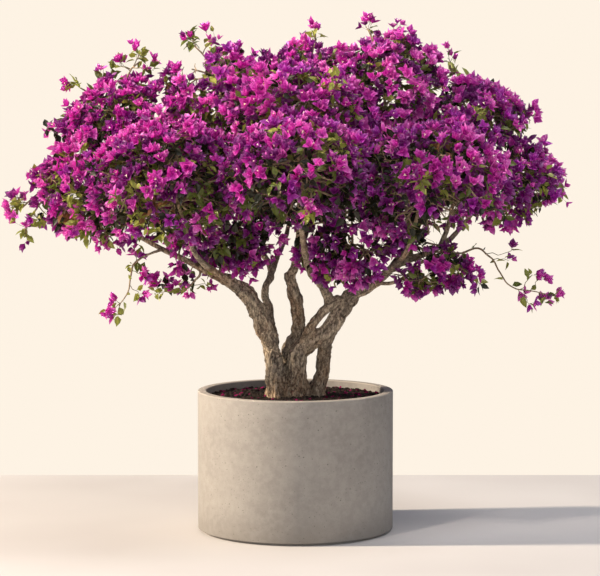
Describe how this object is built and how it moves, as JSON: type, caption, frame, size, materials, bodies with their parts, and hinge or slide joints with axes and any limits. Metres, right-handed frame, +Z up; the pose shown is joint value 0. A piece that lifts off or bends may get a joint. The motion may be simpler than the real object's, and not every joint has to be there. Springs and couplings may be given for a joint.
{
  "type": "bougainvillea bush",
  "caption": "Old bougainvillea with fused twisted stems and a broad, flat-domed crown in full blossom, in a round cast concrete pot.",
  "frame": {"origin": "centre of the pot's flat underside, which stands on the ground", "axes": "+Z up; -Y towards the side that the plant is seen from in the picture; +X to that view's right"},
  "size_m": [2.0315, 1.7378, 1.8511],
  "materials": {
    "concrete": "matte",
    "soil": "matte",
    "bark": "matte",
    "blossom": "matte",
    "leaves": "satin"
  },
  "bodies": {
    "root": {"back_bough": "bark", "back_left_bough": "bark", "back_left_trailing_bough": "bark", "back_right_trailing_bough": "bark", "centre_bough": "bark", "centre_left_bough": "bark", "front_bough": "bark", "inner_left_bough": "bark", "inner_right_bough": "bark", "left_bough": "bark", "left_front_bough": "bark", "left_hanging_bough": "bark", "left_low_bough": "bark", "left_under_bough": "bark", "mass_back": "blossom", "mass_front": "blossom", "mass_inner_left": "blossom", "mass_inner_right": "blossom", "mass_left_back": "blossom", "mass_left_front": "blossom", "mass_left_low": "blossom", "mass_left_top": "blossom", "mass_right": "blossom", "mass_right_back": "blossom", "mass_right_front": "blossom", "mass_right_top": "blossom", "mass_right_under": "blossom", "mass_top_back": "blossom", "mass_top_centre": "blossom", "mass_top_front": "blossom", "mass_top_left": "blossom", "mass_top_right": "blossom", "pot": "concrete", "right_arch_bough": "bark", "right_back_bough": "bark", "right_bough": "bark", "right_front_bough": "bark", "right_low_bough": "bark", "right_top_bough": "bark", "soil": "soil", "spray_back_left_trailing": "leaves", "spray_back_right_trailing": "leaves", "spray_left_hanging": "leaves", "spray_left_under": "leaves", "spray_right_arch": "leaves", "top_back_bough": "bark", "top_left_bough": "bark", "top_right_bough": "bark", "trunk": "bark"}
  },
  "joints": []
}
